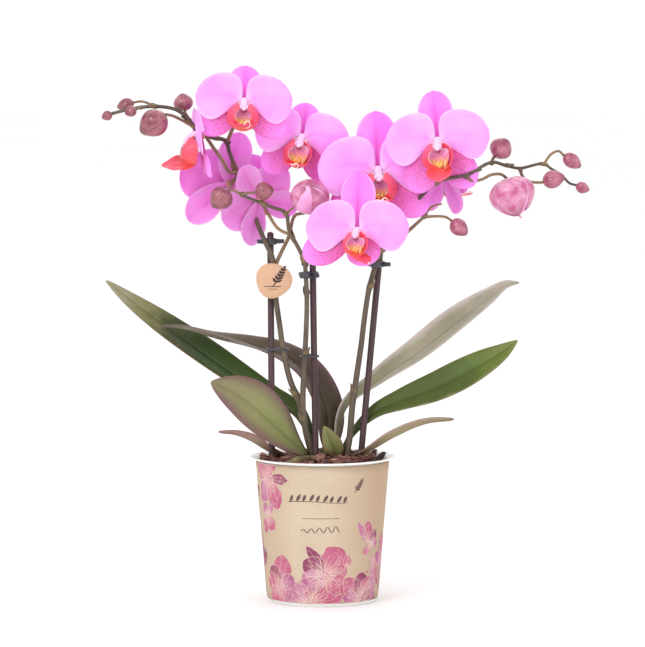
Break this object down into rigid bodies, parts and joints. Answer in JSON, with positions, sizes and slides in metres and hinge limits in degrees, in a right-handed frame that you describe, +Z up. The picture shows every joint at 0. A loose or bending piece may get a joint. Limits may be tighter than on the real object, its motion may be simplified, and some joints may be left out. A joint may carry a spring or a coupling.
{
  "type": "potted orchid",
  "caption": "Moth orchid in a card-wrapped pot: arching stems tied to stakes carry open pink flowers and buds over strap leaves and a bark bed.",
  "frame": {"origin": "centre of the pot's flat underside", "axes": "+Z up along the pot's axis; the open faces of the front flowers look towards -Y; +X is to the right seen from the front"},
  "size_m": [0.359, 0.1323, 0.399],
  "materials": {
    "pot": "satin",
    "sleeve": "matte",
    "bark": "matte",
    "crown": "satin",
    "root": "matte",
    "leaf": "satin",
    "spike": "satin",
    "stake": "satin",
    "clip": "satin",
    "tag": "matte",
    "petal": "satin",
    "lip": "satin",
    "bud": "satin"
  },
  "bodies": {
    "root": {"pot": "pot", "printed_sleeve": "sleeve", "bark_bed": "bark", "crown": "crown", "aerial_root_1": "root", "aerial_root_2": "root", "leaf_left_long": "leaf", "leaf_left_arched": "leaf", "leaf_right_long": "leaf", "leaf_right_wide": "leaf", "leaf_right_small": "leaf", "leaf_left_broad": "leaf", "leaf_left_small": "leaf", "leaf_centre_small": "leaf", "spike_left": "spike", "spike_middle": "spike", "spike_right": "spike", "stake_left": "stake", "stake_middle": "stake", "stake_right": "stake", "clip_left_upper": "clip", "clip_left_lower": "clip", "clip_middle_upper": "clip", "clip_middle_lower": "clip", "clip_right_upper": "clip", "tag": "tag", "flower_left_top_tepals": "petal", "flower_left_top_lip": "lip", "flower_left_side_tepals": "petal", "flower_left_side_lip": "lip", "flower_left_back_tepals": "petal", "flower_left_back_lip": "lip", "flower_middle_top_tepals": "petal", "flower_middle_top_lip": "lip", "flower_middle_front_tepals": "petal", "flower_middle_front_lip": "lip", "flower_middle_low_tepals": "petal", "flower_middle_low_lip": "lip", "flower_middle_back_tepals": "petal", "flower_middle_back_lip": "lip", "flower_right_top_tepals": "petal", "flower_right_top_lip": "lip", "flower_right_back_tepals": "petal", "flower_right_back_lip": "lip", "bud_left_1": "bud", "bud_left_2": "bud", "bud_left_3": "bud", "bud_left_4": "bud", "bud_left_5": "bud", "bud_middle_1": "bud", "bud_middle_2": "bud", "bud_middle_3": "bud", "bud_right_1": "bud", "bud_right_2": "bud", "bud_right_3": "bud", "bud_right_4": "bud", "bud_right_5": "bud", "bud_right_6": "bud"}
  },
  "joints": []
}
